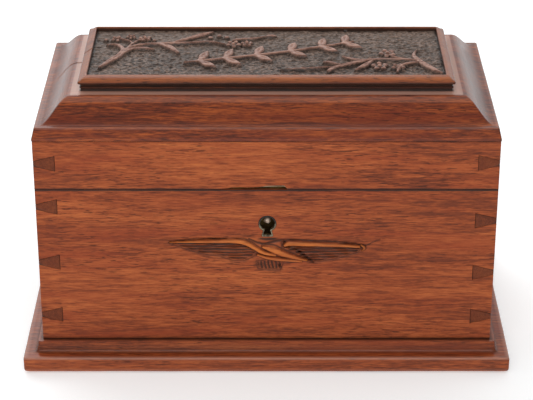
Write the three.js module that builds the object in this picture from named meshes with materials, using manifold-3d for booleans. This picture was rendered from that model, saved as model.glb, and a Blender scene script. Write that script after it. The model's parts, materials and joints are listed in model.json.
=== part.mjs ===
// A dovetailed mahogany tea caddy: a four-board body on a moulded base, a hinged lid with
// an ogee-moulded top that carries a raised, sunk-centred tray, brass butt hinges, a box
// lock with a link plate, and two lined tea compartments with lift-out lids.
// Units are millimetres and +Z is up. The keyhole faces -Y, and +X is to the right of
// someone who faces it. The origin is the middle of the underside of the base board.

import * as THREE from "three";
import { mergeVertices } from "three/addons/utils/BufferGeometryUtils.js";
import Module from "manifold-3d";

const wasm = await Module();
wasm.setup();

// ---- Driving dimensions -------------------------------------------------------------

const FIT = 0.15; // gap all round at glued, let-in and screwed joints
const WALL = 12; // thickness of the body and lid-frame boards

const BODY = { width: 260, depth: 132.5, bottom: 16.6, top: 112.85 };
const LID = { bottom: 113.1, top: 142.1 };

// Base board: a square lower edge, a ledge, and a cove up to the body.
const BASE = { overhang: 11, edge: 9.8, edgeRound: 1.5, coveFoot: 4.8, coveTop: 2.9, height: 16.4 };

// Lid board: a leaning edge, a narrow shelf, an ogee, a flat, and the raised tray.
const TOP = {
  bottom: 142.25, overhang: 0.4, arris: 150, arrisInset: 1.3, ogeeFoot: 3.7, ogeeHead: 19.7, flat: 162,
};
const TRAY = {
  inset: 25, lipBottom: 166.2, top: 169.8, lip: 4.2, lipProud: 0.9, sink: 2.6, setBack: 2.3, footRise: 0.2,
  neck: 0.6, wallLean: 0.4,
};

// Dovetail pins: length, width at the root and at the tip, and heights of their middles.
const PIN = { length: WALL, root: 9.2, tip: 3 };
const BODY_PINS = { left: [102.1, 66.9, 32.7], right: [93.4, 60.3, 31.6] };
const LID_PINS = { left: [128.9], right: [129.4] };

const HINGE = {
  length: 38, spacing: 150, knuckles: 5, radius: 2.5, pinRadius: 1, standOff: 2.6, leaf: 1.2, leafDepth: 9,
  clear: 0.4, screwX: 12,
};
const LOCK = {
  x: 0.5, keyZ: 91.5, plate: 1.5, width: 62, plateBottom: 78, selvedge: 10,
  capWidth: 52, capBottom: 79.5, capDepth: 7.6, capWall: 1, screwX: 28.7, screwLevels: [-8, 12],
};
const KEYHOLE = {
  head: 5, neck: 2.4, foot: 3.1, drop: 8.1, corner: 0.8, ring: 0.75, depth: 1.6, capInset: 0.4,
};
const KEY_PIN = { radius: 1.9, length: 7.4 };

const INTERIOR = {
  partition: 6, partitionTop: 86.4, ledge: 5, ledgeBottom: 74.4, ledgeTop: 80.4, lining: 0.8, teaLid: 5.8,
  gap: 0.3, teaLidGap: 0.5, teaLidRest: 0.2, paper: 1,
};
const BASE_SCREWS = { x: 70, sunk: 0.4 };
const SCREW_SUNK = 0.05; // how far a brass screw's head lies below its plate
const CURVE_STEPS = 8; // straight stretches along one curve of a moulding

const halfWidth = BODY.width / 2;
const halfDepth = BODY.depth / 2;
const innerX = halfWidth - WALL;
const innerY = halfDepth - WALL;
const rim = (BODY.top + LID.bottom) / 2; // level at which the lid meets the body

// ---- Materials ----------------------------------------------------------------------

const finish = (color, roughness, metalness = 0) =>
  new THREE.MeshStandardMaterial({ color, roughness, metalness });

const mahogany = finish(0x964c27, 0.45);
const darkMahogany = finish(0x7d3a24, 0.45);
const innerWood = finish(0x8a5433, 0.6);
const turnedWood = finish(0x4a2a1c, 0.35);
const brass = finish(0xa8884a, 0.4, 1);
const steel = finish(0x6f6a66, 0.45, 1);
const teaLead = finish(0x8d9092, 0.55, 1);
const paper = finish(0x6d2a2c, 0.9);

// ---- Solids -------------------------------------------------------------------------

// A closed three.js geometry as a manifold-3d solid.
function toSolid(geometry) {
  const bare = geometry.clone();
  bare.deleteAttribute("normal");
  bare.deleteAttribute("uv");
  const merged = mergeVertices(bare, 1e-5);
  return new wasm.Manifold(new wasm.Mesh({
    numProp: 3,
    vertProperties: new Float32Array(merged.attributes.position.array),
    triVerts: new Uint32Array(merged.index.array),
  }));
}

function toGeometry(solid) {
  const mesh = solid.getMesh();
  const geometry = new THREE.BufferGeometry();
  geometry.setAttribute("position", new THREE.BufferAttribute(mesh.vertProperties, 3));
  geometry.setIndex(new THREE.BufferAttribute(mesh.triVerts, 1));
  geometry.computeVertexNormals();
  return geometry;
}

const join = (...geometries) =>
  toGeometry(geometries.map(toSolid).reduce((whole, next) => whole.add(next)));

const subtract = (geometry, ...cutters) =>
  toGeometry(cutters.map(toSolid).reduce((whole, next) => whole.subtract(next), toSolid(geometry)));

// A box between two values on each axis.
function block([x0, x1], [y0, y1], [z0, z1]) {
  const geometry = new THREE.BoxGeometry(x1 - x0, y1 - y0, z1 - z0);
  return geometry.translate((x0 + x1) / 2, (y0 + y1) / 2, (z0 + z1) / 2);
}

// A flat outline in X and Z, given its thickness between two values of Y.
function plateXZ(shape, y0, y1) {
  const geometry = new THREE.ExtrudeGeometry(shape, {
    depth: y1 - y0, bevelEnabled: false, curveSegments: CURVE_STEPS,
  });
  return geometry.rotateX(Math.PI / 2).translate(0, y1, 0);
}

// A cylinder along X.
function rodX(radius, x0, x1, sides = 16) {
  const geometry = new THREE.CylinderGeometry(radius, radius, x1 - x0, sides);
  return geometry.rotateZ(Math.PI / 2).translate((x0 + x1) / 2, 0, 0);
}

const polygon = (points) => new THREE.Shape(points.map(([x, y]) => new THREE.Vector2(x, y)));

// A board moulded alike on its four edges: a stack of rectangles, each given by its inset
// from the body's outline, its height and, where it isn't central, how far back it lies,
// from the underside up and in to the middle.
function mouldedBoard(profile) {
  const positions = [];
  const index = [];
  for (const [inset, z, back = 0] of profile) {
    const x = halfWidth - inset;
    const y = halfDepth - inset;
    positions.push(-x, back - y, z, x, back - y, z, x, back + y, z, -x, back + y, z);
  }
  index.push(0, 2, 1, 0, 3, 2);
  for (let ring = 0; ring < profile.length - 1; ring += 1) {
    for (let side = 0; side < 4; side += 1) {
      const a = ring * 4 + side;
      const b = ring * 4 + ((side + 1) % 4);
      index.push(a, b, b + 4, a, b + 4, a + 4);
    }
  }
  const last = (profile.length - 1) * 4;
  index.push(last, last + 1, last + 2, last, last + 2, last + 3);
  const geometry = new THREE.BufferGeometry();
  geometry.setAttribute("position", new THREE.Float32BufferAttribute(positions, 3));
  geometry.setIndex(index);
  geometry.computeVertexNormals();
  return geometry;
}

// Points at even steps along a curve given as a function of 0 to 1.
const along = (steps, point) => Array.from({ length: steps + 1 }, (_, i) => point(i / steps));

function piece(name, geometry, material) {
  const mesh = new THREE.Mesh(geometry, material);
  mesh.name = name;
  return mesh;
}

// ---- Mouldings ----------------------------------------------------------------------

function baseBoardGeometry() {
  const corner = along(3, (t) => [
    -BASE.overhang + BASE.edgeRound * (1 - Math.sin((t * Math.PI) / 2)),
    BASE.edgeRound * (1 - Math.cos((t * Math.PI) / 2)),
  ]);
  const cove = along(CURVE_STEPS, (t) => [
    -BASE.coveTop - (BASE.coveFoot - BASE.coveTop) * (1 - Math.sin((t * Math.PI) / 2)),
    BASE.height - (BASE.height - BASE.edge) * Math.cos((t * Math.PI) / 2),
  ]);
  return mouldedBoard([...corner, [-BASE.overhang, BASE.edge], ...cove]);
}

function lidBoardGeometry() {
  const ogee = along(CURVE_STEPS * 2, (t) => [
    TOP.ogeeFoot + (TOP.ogeeHead - TOP.ogeeFoot) * t,
    TOP.arris + (TOP.flat - TOP.arris) * (0.5 - 0.5 * Math.cos(t * Math.PI)),
  ]);
  const roundHeight = (TRAY.top - TRAY.lipBottom) / 2;
  const lip = along(CURVE_STEPS, (t) => [
    TRAY.inset - TRAY.lipProud * Math.sin(t * Math.PI),
    TRAY.lipBottom + roundHeight * (1 - Math.cos(t * Math.PI)),
  ]);
  const innerInset = TRAY.inset + TRAY.lip;
  return mouldedBoard([
    [0, TOP.bottom],
    [-TOP.overhang, TOP.bottom + TOP.overhang],
    [-TOP.overhang / 2, (TOP.bottom + TOP.arris) / 2],
    [TOP.arrisInset, TOP.arris],
    ...ogee,
    [TRAY.inset + TRAY.neck, TOP.flat + TRAY.footRise],
    [TRAY.inset + TRAY.neck, TRAY.lipBottom],
    ...lip,
    [innerInset - TRAY.wallLean, TRAY.top, TRAY.setBack],
    [innerInset, TRAY.top - TRAY.sink, TRAY.setBack],
  ]);
}

// ---- Dovetailed boards --------------------------------------------------------------

// The outline of one pin on the right-hand end, seen from the front, grown by a gap.
function pinOutline(height, gap = 0) {
  const tip = PIN.tip / 2 + gap;
  const root = PIN.root / 2 + gap;
  const inner = halfWidth - PIN.length - gap;
  return [
    [halfWidth, height - tip], [inner, height - root], [inner, height + root], [halfWidth, height + tip],
  ];
}

// A front or back board: its ends are tails, with a socket for each pin.
function tailBoard(name, [bottom, top], pins, front) {
  const ascending = (heights) => [...heights].sort((a, b) => a - b);
  const rightEnd = ascending(pins.right).flatMap((height) => pinOutline(height, FIT));
  const leftEnd = ascending(pins.left)
    .flatMap((height) => pinOutline(height, FIT))
    .reverse()
    .map(([x, z]) => [-x, z]);
  const outline = polygon([
    [-halfWidth, bottom], [halfWidth, bottom], ...rightEnd, [halfWidth, top], [-halfWidth, top], ...leftEnd,
  ]);
  const y0 = front ? -halfDepth : innerY;
  return piece(name, plateXZ(outline, y0, y0 + WALL), mahogany);
}

// A side board: a panel between the front and back boards, with pins at both ends.
function pinBoard(name, [bottom, top], heights, side) {
  const shoulder = innerY - FIT;
  const parts = [block([innerX, halfWidth], [-shoulder, shoulder], [bottom, top])];
  for (const height of heights) {
    parts.push(plateXZ(polygon(pinOutline(height)), -halfDepth, halfDepth));
  }
  const geometry = join(...parts);
  if (side < 0) {
    geometry.applyMatrix4(new THREE.Matrix4().makeRotationZ(Math.PI));
  }
  return piece(name, geometry, mahogany);
}

// ---- Screws -------------------------------------------------------------------------

// Countersunk wood screws, along -Z from the face of the head at the origin.
const SCREW_POINT = 2.5; // a point's length in shank radii
const HEAD_RIM = 0.15; // thickness of a head's rim
const SCREW_SIDES = 12;
const SCREWS = {
  small: { head: 2, shank: 1, cone: 1.1, length: 9, slot: 0.5 },
  base: { head: 3.4, shank: 1.8, cone: 1.8, length: 30, slot: 0.8 },
};

function screwGeometry({ head, shank, cone, length, slot }) {
  const tip = length - SCREW_POINT * shank;
  const profile = [[0, -length], [shank, -tip], [shank, -cone], [head, -HEAD_RIM], [head, 0], [0, 0]];
  const turned = new THREE.LatheGeometry(profile.map(([r, y]) => new THREE.Vector2(r, y)), SCREW_SIDES);
  turned.rotateX(Math.PI / 2);
  return subtract(turned, block([-head * 2, head * 2], [-slot / 2, slot / 2], [-slot, slot]));
}

// The hole for a screw: the same shape, wider all round and open above the head.
function screwHoleGeometry({ head, shank, cone, length }) {
  const wide = shank + FIT;
  const profile = [
    [0, -length - 2 * FIT], [wide, -length + SCREW_POINT * shank - FIT], [wide, -cone - FIT],
    [head + FIT, -HEAD_RIM - FIT], [head + FIT, 1], [0, 1],
  ];
  const turned = new THREE.LatheGeometry(profile.map(([r, y]) => new THREE.Vector2(r, y)), SCREW_SIDES);
  return turned.rotateX(Math.PI / 2);
}

// ---- Letting pieces in --------------------------------------------------------------

const recesses = []; // each is a hollow still to be cut: { hollow, targets }

// Places a hollow in a group, to be cut from each target once all of them stand in place.
function letIn(group, geometry, ...targets) {
  const hollow = new THREE.Object3D();
  hollow.userData.geometry = geometry;
  group.add(hollow);
  recesses.push({ hollow, targets });
  return hollow;
}

function screw(group, name, kind, material, place, ...targets) {
  const mesh = piece(name, screwGeometry(SCREWS[kind]), material);
  const hole = letIn(group, screwHoleGeometry(SCREWS[kind]), ...targets);
  for (const object of [mesh, hole]) {
    object.position.set(place.x, place.y, place.z);
    object.rotation.set(place.tilt ?? 0, 0, 0);
  }
  group.add(mesh);
}

function cutRecesses(root) {
  root.updateMatrixWorld(true);
  for (const { hollow, targets } of recesses) {
    for (const target of targets) {
      const shift = target.matrixWorld.clone().invert().multiply(hollow.matrixWorld);
      target.geometry = subtract(target.geometry, hollow.userData.geometry.clone().applyMatrix4(shift));
    }
    hollow.removeFromParent();
  }
}

// ---- Hinges -------------------------------------------------------------------------

// One leaf, in the frame of the barrel's axis. up is 1 for the lid's leaf, -1 for the body's.
function hingeLeafGeometry(up) {
  const near = (LID.bottom - BODY.top) / 2;
  const levels = [near * up, (near + HINGE.leaf) * up].sort((a, b) => a - b);
  const half = HINGE.length / 2;
  const reach = -HINGE.standOff - HINGE.leafDepth;
  const parts = [block([-half, half], [reach, -HINGE.radius - HINGE.clear], levels)];
  const pitch = HINGE.length / HINGE.knuckles;
  for (let i = up > 0 ? 1 : 0; i < HINGE.knuckles; i += 2) {
    const x0 = -half + i * pitch + FIT;
    const x1 = -half + (i + 1) * pitch - FIT;
    parts.push(block([x0, x1], [-HINGE.radius - 1, -HINGE.pinRadius - 0.5], levels));
    parts.push(rodX(HINGE.radius, x0, x1));
  }
  return subtract(join(...parts), rodX(HINGE.pinRadius + FIT, -half - 1, half + 1));
}

function hinge(side, boards) {
  const group = new THREE.Group();
  const prefix = side < 0 ? "left" : "right";
  group.position.set((side * HINGE.spacing) / 2, halfDepth + HINGE.standOff, rim);
  for (const up of [-1, 1]) {
    const owner = up < 0 ? "body" : "lid";
    const board = up < 0 ? boards.body : boards.lid;
    const leaf = piece(`${prefix}_hinge_${owner}_leaf`, hingeLeafGeometry(up), brass);
    group.add(leaf);
    const near = (LID.bottom - BODY.top) / 2;
    const levels = [up * (near - 1), up * (near + HINGE.leaf + FIT)].sort((a, b) => a - b);
    const half = HINGE.length / 2 + FIT;
    letIn(group, block([-half, half], [-HINGE.standOff - HINGE.leafDepth - FIT, 0], levels), board);
    for (const end of [-1, 1]) {
      const name = `${prefix}_hinge_${owner}_screw_${end < 0 ? 1 : 2}`;
      const place = {
        x: end * HINGE.screwX, y: -HINGE.standOff - HINGE.leafDepth / 2, z: up * (near + SCREW_SUNK),
        tilt: up > 0 ? Math.PI : 0,
      };
      screw(group, name, "small", brass, place, leaf, board);
    }
  }
  group.add(piece(`${prefix}_hinge_pin`, rodX(HINGE.pinRadius, -HINGE.length / 2, HINGE.length / 2), steel));
  return group;
}

// ---- Lock and keyhole ---------------------------------------------------------------

// A keyhole about the key pin's axis: a round head over a slot that widens to a flat foot.
function keyholeShape(grow) {
  const head = KEYHOLE.head + grow;
  const neck = KEYHOLE.neck + grow;
  const foot = KEYHOLE.foot + grow;
  const bottom = -KEYHOLE.drop - grow;
  const { corner } = KEYHOLE;
  const spread = Math.asin(neck / head);
  const shape = new THREE.Shape();
  shape.absarc(0, 0, head, spread - Math.PI / 2, (3 * Math.PI) / 2 - spread, false);
  shape.lineTo(-foot, bottom + corner);
  shape.quadraticCurveTo(-foot, bottom, corner - foot, bottom);
  shape.lineTo(foot - corner, bottom);
  shape.quadraticCurveTo(foot, bottom, foot, bottom + corner);
  return shape;
}

function escutcheonGeometry() {
  const ring = keyholeShape(0);
  ring.holes.push(keyholeShape(-KEYHOLE.ring));
  return plateXZ(ring, -halfDepth, -halfDepth + KEYHOLE.depth);
}

// Where the lock's parts stand across the thickness of the front board.
const lockY = { inner: -innerY, selvedge: -innerY - LOCK.selvedge, middle: -innerY - LOCK.selvedge / 2 };
const staples = [-10.9, 14.1]; // middles of the two staples, from the key's axis
const STAPLE = {
  width: 4.6, thick: 2.2, drop: 10.5, eyeWidth: 3, eyeTop: 4.2, eyeBottom: 8.8, slotHalf: 2.1,
  slotHalfDepth: 3.3,
};
const LINK_SCREW_X = 26;
const lockHalf = LOCK.width / 2;

function lockPlateGeometry() {
  const top = BODY.top - LOCK.keyZ;
  const bottom = LOCK.plateBottom - LOCK.keyZ;
  const back = block([-lockHalf, lockHalf], [lockY.inner - LOCK.plate, lockY.inner], [bottom, top]);
  const selvedge = block([-lockHalf, lockHalf], [lockY.selvedge, lockY.inner], [top - LOCK.plate, top]);
  const acrossSlot = [lockY.middle - STAPLE.slotHalfDepth, lockY.middle + STAPLE.slotHalfDepth];
  const slots = staples.map((x) =>
    block([x - STAPLE.slotHalf, x + STAPLE.slotHalf], acrossSlot, [top - 2 * LOCK.plate, top + 1]));
  return subtract(join(back, selvedge), ...slots);
}

// The cap over the works: a shallow box, open towards the plate and under the selvedge.
function lockCapGeometry() {
  const half = LOCK.capWidth / 2;
  const back = lockY.inner - LOCK.plate - FIT;
  const front = back - LOCK.capDepth;
  const bottom = LOCK.capBottom - LOCK.keyZ;
  const top = BODY.top - LOCK.keyZ - LOCK.plate - FIT;
  const shell = block([-half, half], [front, back], [bottom, top]);
  const wall = LOCK.capWall;
  const hollow = block([wall - half, half - wall], [front + wall, back + 1], [bottom + wall, top + 1]);
  const keyway = plateXZ(keyholeShape(-KEYHOLE.capInset), front - 1, front + wall + 1);
  return subtract(shell, hollow, keyway);
}

// The bolt: a bar with two hooked stems, whose fingers slide through the staples.
function lockBoltGeometry() {
  const stem = { setBack: 11.8, width: 5, reach: 4, top: 16.7, finger: 3 };
  const bar = { bottom: 5.5, top: 9.5, left: staples[0] - stem.setBack, right: 18, halfThick: 0.9 };
  const outline = [[bar.left, bar.bottom], [bar.right, bar.bottom], [bar.right, bar.top]];
  for (const staple of [staples[1], staples[0]]) {
    const left = staple - stem.setBack;
    const right = left + stem.width;
    const tip = right + stem.reach;
    const under = stem.top - stem.finger;
    outline.push([right, bar.top], [right, under], [tip, under], [tip, stem.top], [left, stem.top]);
    if (left > bar.left) {
      outline.push([left, bar.top]);
    }
  }
  return plateXZ(polygon(outline), lockY.middle - bar.halfThick, lockY.middle + bar.halfThick);
}

// A bowed leaf spring that bears on the bar between the stems.
function lockSpringGeometry() {
  const leaf = { left: -8.5, length: 9.5, level: 11.1, thick: 0.5, sag: 1.2, halfWidth: 1.5 };
  const bow = (level) =>
    along(CURVE_STEPS, (t) => [leaf.left + leaf.length * t, level - leaf.sag * Math.sin(t * Math.PI)]);
  const outline = [...bow(leaf.level), ...bow(leaf.level + leaf.thick).reverse()];
  return plateXZ(polygon(outline), lockY.middle - leaf.halfWidth, lockY.middle + leaf.halfWidth);
}

// The pin that a pipe key turns on, with a domed end towards the keyhole.
function keyPinGeometry() {
  const { radius, length } = KEY_PIN;
  const dome = along(CURVE_STEPS, (t) => [
    radius * Math.sin((t * Math.PI) / 2), radius * (1 - Math.cos((t * Math.PI) / 2)),
  ]);
  dome[0][0] = 0;
  const profile = [...dome, [radius, length], [0, length]].map(([r, y]) => new THREE.Vector2(r, y));
  return new THREE.LatheGeometry(profile, 24).translate(0, lockY.inner - LOCK.plate - FIT - length, 0);
}

function lockWorks(frontBoard) {
  const group = new THREE.Group();
  group.position.set(LOCK.x, 0, LOCK.keyZ);
  const top = BODY.top - LOCK.keyZ;
  const plate = piece("lock_plate", lockPlateGeometry(), brass);
  group.add(plate);
  group.add(piece("lock_cap", lockCapGeometry(), brass));
  group.add(piece("lock_bolt", lockBoltGeometry(), brass));
  group.add(piece("lock_spring", lockSpringGeometry(), steel));
  group.add(piece("keyhole_escutcheon", escutcheonGeometry(), brass));

  group.add(piece("lock_key_pin", keyPinGeometry(), steel));

  // The front board's hollows: plate, selvedge, cap and keyhole.
  const bottom = LOCK.plateBottom - LOCK.keyZ;
  const across = [-lockHalf - FIT, lockHalf + FIT];
  const capHalf = LOCK.capWidth / 2 + FIT;
  const capFront = lockY.inner - LOCK.plate - LOCK.capDepth - 2 * FIT;
  const inside = lockY.inner + 1;
  letIn(group, block(across, [lockY.inner - LOCK.plate - FIT, inside], [bottom - FIT, top + 1]), frontBoard);
  letIn(group, block(across, [lockY.selvedge - FIT, inside], [top - LOCK.plate - FIT, top + 1]), frontBoard);
  const capBottom = LOCK.capBottom - LOCK.keyZ - FIT;
  letIn(group, block([-capHalf, capHalf], [capFront, lockY.inner], [capBottom, top]), frontBoard);
  letIn(group, plateXZ(keyholeShape(FIT), -halfDepth - 1, lockY.inner - LOCK.plate), frontBoard);

  let number = 1;
  for (const x of [-LOCK.screwX, LOCK.screwX]) {
    for (const z of LOCK.screwLevels) {
      const place = { x, y: lockY.inner - SCREW_SUNK, z, tilt: -Math.PI / 2 };
      screw(group, `lock_screw_${number}`, "small", brass, place, plate, frontBoard);
      number += 1;
    }
  }
  return group;
}

// The plate let into the lid's lower edge, with the two staples that the bolt enters.
function linkPlate(board) {
  const group = new THREE.Group();
  group.position.set(LOCK.x, 0, LID.bottom);
  const across = [lockY.selvedge, lockY.inner];
  const parts = [block([-lockHalf, lockHalf], across, [0, LOCK.plate])];
  const eyes = [];
  for (const x of staples) {
    const half = STAPLE.thick / 2;
    const sides = [lockY.middle - STAPLE.width / 2, lockY.middle + STAPLE.width / 2];
    const eye = [lockY.middle - STAPLE.eyeWidth / 2, lockY.middle + STAPLE.eyeWidth / 2];
    parts.push(block([x - half, x + half], sides, [-STAPLE.drop, 0.5]));
    eyes.push(block([x - 2 * half, x + 2 * half], eye, [-STAPLE.eyeBottom, -STAPLE.eyeTop]));
  }
  const plate = piece("lid_link_plate", subtract(join(...parts), ...eyes), brass);
  group.add(plate);
  const hollow = block(
    [-lockHalf - FIT, lockHalf + FIT], [lockY.selvedge - FIT, lockY.inner + 1], [-1, LOCK.plate + FIT]);
  letIn(group, hollow, board);
  for (const end of [-1, 1]) {
    const place = { x: end * LINK_SCREW_X, y: lockY.middle, z: SCREW_SUNK, tilt: Math.PI };
    screw(group, `link_plate_screw_${end < 0 ? 1 : 2}`, "small", brass, place, plate, board);
  }
  return group;
}

// ---- Inside the body ----------------------------------------------------------------

function liningGeometry([x0, x1], depth, [z0, z1]) {
  const wall = INTERIOR.lining;
  const shell = block([x0, x1], [-depth, depth], [z0, z1]);
  return subtract(shell, block([x0 + wall, x1 - wall], [-depth + wall, depth - wall], [z0 + wall, z1 + 1]));
}

const KNOB_TENON = { radius: 2.4, length: 5 };

function knobGeometry() {
  const foot = { radius: 5.2, bottom: 0.2, top: 1.4 };
  const neck = { radius: 2.8, bottom: 2.4, top: 3 };
  const ball = { radius: 6.2, middle: 8, flattening: 0.85, start: -0.9 };
  const outline = [
    [0, -KNOB_TENON.length], [KNOB_TENON.radius, -KNOB_TENON.length], [KNOB_TENON.radius, foot.bottom],
    [foot.radius, foot.bottom], [foot.radius, foot.top], [neck.radius, neck.bottom], [neck.radius, neck.top],
  ];
  const dome = along(2 * CURVE_STEPS, (t) => {
    const angle = ball.start + t * (Math.PI / 2 - ball.start);
    return [ball.radius * Math.cos(angle), ball.middle + ball.radius * ball.flattening * Math.sin(angle)];
  });
  dome[dome.length - 1][0] = 0;
  const profile = [...outline, ...dome].map(([r, y]) => new THREE.Vector2(r, y));
  return new THREE.LatheGeometry(profile, 32).rotateX(Math.PI / 2);
}

function teaLid(prefix, middle, [x0, x1], depth) {
  const group = new THREE.Group();
  group.position.set(middle, 0, INTERIOR.ledgeTop + INTERIOR.teaLidRest);
  const slab = block([x0 - middle, x1 - middle], [-depth, depth], [0, INTERIOR.teaLid]);
  const socketRadius = KNOB_TENON.radius + INTERIOR.teaLidRest;
  const socket = new THREE.CylinderGeometry(socketRadius, socketRadius, 4 * INTERIOR.teaLid, 20);
  socket.rotateX(Math.PI / 2);
  group.add(piece(`${prefix}_tea_lid`, subtract(slab, socket), innerWood));
  const knob = piece(`${prefix}_tea_lid_knob`, knobGeometry(), turnedWood);
  knob.position.z = INTERIOR.teaLid;
  group.add(knob);
  return group;
}

function compartments() {
  const group = new THREE.Group();
  const half = INTERIOR.partition / 2;
  const { gap, teaLidGap } = INTERIOR;
  const floor = BASE.height + gap;
  const divider = block([-half, half], [-innerY + gap, innerY - gap], [floor, INTERIOR.partitionTop]);
  group.add(piece("partition", divider, innerWood));
  for (const side of [-1, 1]) {
    const prefix = side < 0 ? "left" : "right";
    const span = [side * (half + gap), side * (innerX - gap)].sort((a, b) => a - b);
    const lining = liningGeometry(span, innerY - gap, [floor, INTERIOR.ledgeBottom - gap]);
    group.add(piece(`${prefix}_tea_lining`, lining, teaLead));
    for (const face of [-1, 1]) {
      const levels = [INTERIOR.ledgeBottom, INTERIOR.ledgeTop];
      const across = [face * (innerY - gap), face * (innerY - gap - INTERIOR.ledge)].sort((a, b) => a - b);
      const name = `${prefix}_${face < 0 ? "front" : "back"}_ledge`;
      group.add(piece(name, block(span, across, levels), innerWood));
    }
    const lidSpan = [side * (half + teaLidGap), side * (innerX - teaLidGap)].sort((a, b) => a - b);
    group.add(teaLid(prefix, (lidSpan[0] + lidSpan[1]) / 2, lidSpan, innerY - teaLidGap));
  }
  return group;
}

// ---- Assembly -----------------------------------------------------------------------

const caddy = new THREE.Group();

const baseBoard = piece("base_board", baseBoardGeometry(), mahogany);
const bodyLevels = [BODY.bottom, BODY.top];
const lidLevels = [LID.bottom, LID.top];
const frontBoard = tailBoard("front_board", bodyLevels, BODY_PINS, true);
const backBoard = tailBoard("back_board", bodyLevels, BODY_PINS, false);
const leftBoard = pinBoard("left_board", bodyLevels, BODY_PINS.left, -1);
const rightBoard = pinBoard("right_board", bodyLevels, BODY_PINS.right, 1);

const lidFrontBoard = tailBoard("lid_front_board", lidLevels, LID_PINS, true);
const lidBackBoard = tailBoard("lid_back_board", lidLevels, LID_PINS, false);
const lidLeftBoard = pinBoard("lid_left_board", lidLevels, LID_PINS.left, -1);
const lidRightBoard = pinBoard("lid_right_board", lidLevels, LID_PINS.right, 1);
const lidTopBoard = piece("lid_top_board", lidBoardGeometry(), darkMahogany);
const liningX = innerX - INTERIOR.gap;
const liningY = innerY - INTERIOR.gap;
const lidLining = block([-liningX, liningX], [-liningY, liningY], [LID.top - INTERIOR.paper, LID.top]);

caddy.add(baseBoard, frontBoard, backBoard, leftBoard, rightBoard);
caddy.add(lidFrontBoard, lidBackBoard, lidLeftBoard, lidRightBoard, lidTopBoard);
caddy.add(piece("lid_lining", lidLining, paper));
caddy.add(compartments());
caddy.add(lockWorks(frontBoard));
caddy.add(linkPlate(lidFrontBoard));
for (const side of [-1, 1]) {
  caddy.add(hinge(side, { body: backBoard, lid: lidBackBoard }));
}

// Screws up through the base board: two into each long board, one into each side board.
const middleOfWall = { x: halfWidth - WALL / 2, y: halfDepth - WALL / 2 };
const baseScrews = [
  [-BASE_SCREWS.x, -middleOfWall.y, frontBoard], [BASE_SCREWS.x, -middleOfWall.y, frontBoard],
  [-BASE_SCREWS.x, middleOfWall.y, backBoard], [BASE_SCREWS.x, middleOfWall.y, backBoard],
  [-middleOfWall.x, 0, leftBoard], [middleOfWall.x, 0, rightBoard],
];
baseScrews.forEach(([x, y, board], i) => {
  const place = { x, y, z: BASE_SCREWS.sunk, tilt: Math.PI };
  screw(caddy, `base_screw_${i + 1}`, "base", steel, place, baseBoard, board);
});

cutRecesses(caddy);

export default caddy;
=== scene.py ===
"""A dovetailed mahogany tea caddy with a carved, ogee-moulded lid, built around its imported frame."""

import json
import math

import bmesh
import bpy
import numpy as np
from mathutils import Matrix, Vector


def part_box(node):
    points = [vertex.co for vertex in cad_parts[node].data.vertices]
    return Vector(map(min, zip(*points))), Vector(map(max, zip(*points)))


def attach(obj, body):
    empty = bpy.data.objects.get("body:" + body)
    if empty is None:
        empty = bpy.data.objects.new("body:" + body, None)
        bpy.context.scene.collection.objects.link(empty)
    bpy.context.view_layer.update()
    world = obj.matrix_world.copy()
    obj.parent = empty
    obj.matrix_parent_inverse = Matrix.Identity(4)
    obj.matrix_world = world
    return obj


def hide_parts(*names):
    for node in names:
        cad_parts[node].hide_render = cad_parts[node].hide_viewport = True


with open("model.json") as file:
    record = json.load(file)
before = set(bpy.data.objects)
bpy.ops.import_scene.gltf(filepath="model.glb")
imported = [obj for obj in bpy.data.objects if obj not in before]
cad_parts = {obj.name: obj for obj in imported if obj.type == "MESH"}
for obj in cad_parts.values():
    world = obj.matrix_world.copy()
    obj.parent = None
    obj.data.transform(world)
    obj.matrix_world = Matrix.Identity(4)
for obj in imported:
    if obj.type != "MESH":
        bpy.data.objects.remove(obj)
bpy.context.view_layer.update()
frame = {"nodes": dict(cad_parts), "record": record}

MM = 0.001


# ---- Places, in millimetres, from the frame --------------------------------------------


def box_mm(node):
    low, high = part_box(node)
    return np.array(low) / MM, np.array(high) / MM


FRONT_LOW, FRONT_HIGH = box_mm("front_board")
BACK_HIGH = box_mm("back_board")[1]
LID_FRONT_LOW = box_mm("lid_front_board")[0]
LID_LOW, LID_HIGH = box_mm("lid_top_board")
BASE_HIGH = box_mm("base_board")[1]
KEY_LOW, KEY_HIGH = box_mm("keyhole_escutcheon")
KEY_DROP = KEY_HIGH[2] - KEY_LOW[2]
HALF = np.array([FRONT_HIGH[0], BACK_HIGH[1]])  # half the body's width and depth
FRONT_Y = FRONT_LOW[1]


# ---- Camera, floor and light -----------------------------------------------------------


CAMERA_LENS, CAMERA_SENSOR = 128.04, 36.0  # millimetres
CAMERA_PLACE = (0.0, -1.0226, 0.57459)  # metres
CAMERA_TILT = math.radians(63.92)  # up from straight down


def make_camera():
    data = bpy.data.cameras.new("camera")
    data.lens = CAMERA_LENS
    data.sensor_width = CAMERA_SENSOR
    data.clip_start, data.clip_end = 0.05, 20.0
    camera = bpy.data.objects.new("camera", data)
    camera.location = CAMERA_PLACE
    camera.rotation_euler = (CAMERA_TILT, 0.0, 0.0)
    bpy.context.collection.objects.link(camera)
    bpy.context.scene.camera = camera


def area_light(name, place, target, size, watts):
    data = bpy.data.lights.new(name, "AREA")
    data.shape = "RECTANGLE"
    data.size, data.size_y = size
    data.energy = watts
    light = bpy.data.objects.new(name, data)
    light.location = place
    aim = np.array(target) - np.array(place)
    light.rotation_euler = Vector(aim).to_track_quat("-Z", "Y").to_euler()
    bpy.context.collection.objects.link(light)


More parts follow.
